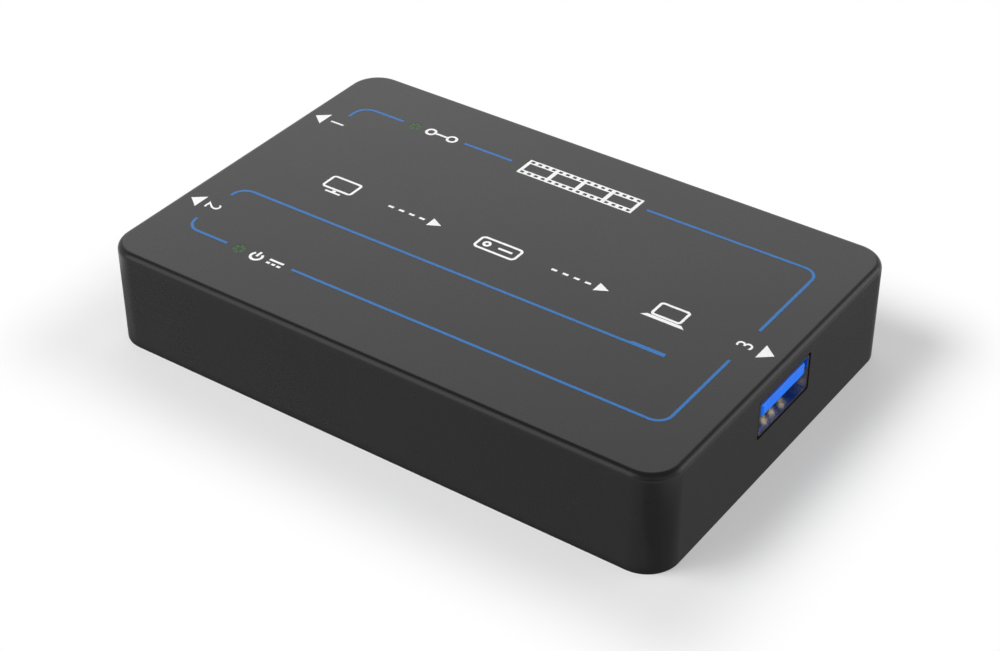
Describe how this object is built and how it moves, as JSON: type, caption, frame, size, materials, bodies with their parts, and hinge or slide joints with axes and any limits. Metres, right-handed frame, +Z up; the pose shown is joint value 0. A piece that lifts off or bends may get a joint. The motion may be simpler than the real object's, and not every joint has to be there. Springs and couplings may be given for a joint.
{
  "type": "video capture box",
  "caption": "Flat black metal box with a blue-tongued data socket in one end and video sockets in the other, which takes in a video signal, passes it on and sends it to a computer.",
  "frame": {"origin": "middle of the underside", "axes": "+X along the length towards the data socket, +Y across the width, +Z up through the printed roof"},
  "size_m": [0.09, 0.06, 0.0155],
  "materials": {
    "case_metal": "satin black anodised, fine blasted texture",
    "cover_metal": "satin black anodised",
    "black_screw": "black zinc plated",
    "board_laminate": "green solder resist, satin",
    "plain_screw": "zinc plated",
    "socket_steel": "bright nickel plated sheet",
    "blue_plastic": "smooth moulded",
    "black_plastic": "smooth moulded",
    "contact_gold": "gold plated",
    "green_light_pipe": "frosted translucent green",
    "lamp_resin": "clear resin over a white base",
    "chip_resin": "fine moulded texture",
    "thermal_rubber": "soft matte",
    "plain_aluminium": "sawn and tumbled",
    "can_steel": "bright plated",
    "inductor_ferrite": "pressed powder",
    "capacitor_resin": "smooth moulded",
    "capacitor_ceramic": "fired ceramic",
    "print_blue": "satin screen print",
    "print_white": "satin screen print"
  },
  "bodies": {
    "root": {"top_shell": "case_metal", "bottom_cover": "cover_metal", "cover_screws": "black_screw", "main_board": "board_laminate", "board_screws": "plain_screw", "data_socket_shell": "socket_steel", "data_socket_insulator": "blue_plastic", "data_socket_contacts": "contact_gold", "data_socket_pads": "contact_gold", "video_in_shell": "socket_steel", "video_in_insulator": "black_plastic", "video_in_contacts": "contact_gold", "video_out_shell": "socket_steel", "video_out_insulator": "black_plastic", "video_out_contacts": "contact_gold", "link_light_pipe": "green_light_pipe", "power_light_pipe": "green_light_pipe", "link_led": "lamp_resin", "power_led": "lamp_resin", "capture_chip": "chip_resin", "thermal_pad": "thermal_rubber", "heatsink": "plain_aluminium", "receiver_chip": "chip_resin", "memory_chip": "chip_resin", "flash_chip": "chip_resin", "regulator_chip": "chip_resin", "clock_crystal": "can_steel", "power_inductors": "inductor_ferrite", "bulk_capacitors": "capacitor_resin", "ceramic_capacitors": "capacitor_ceramic"}
  },
  "joints": []
}
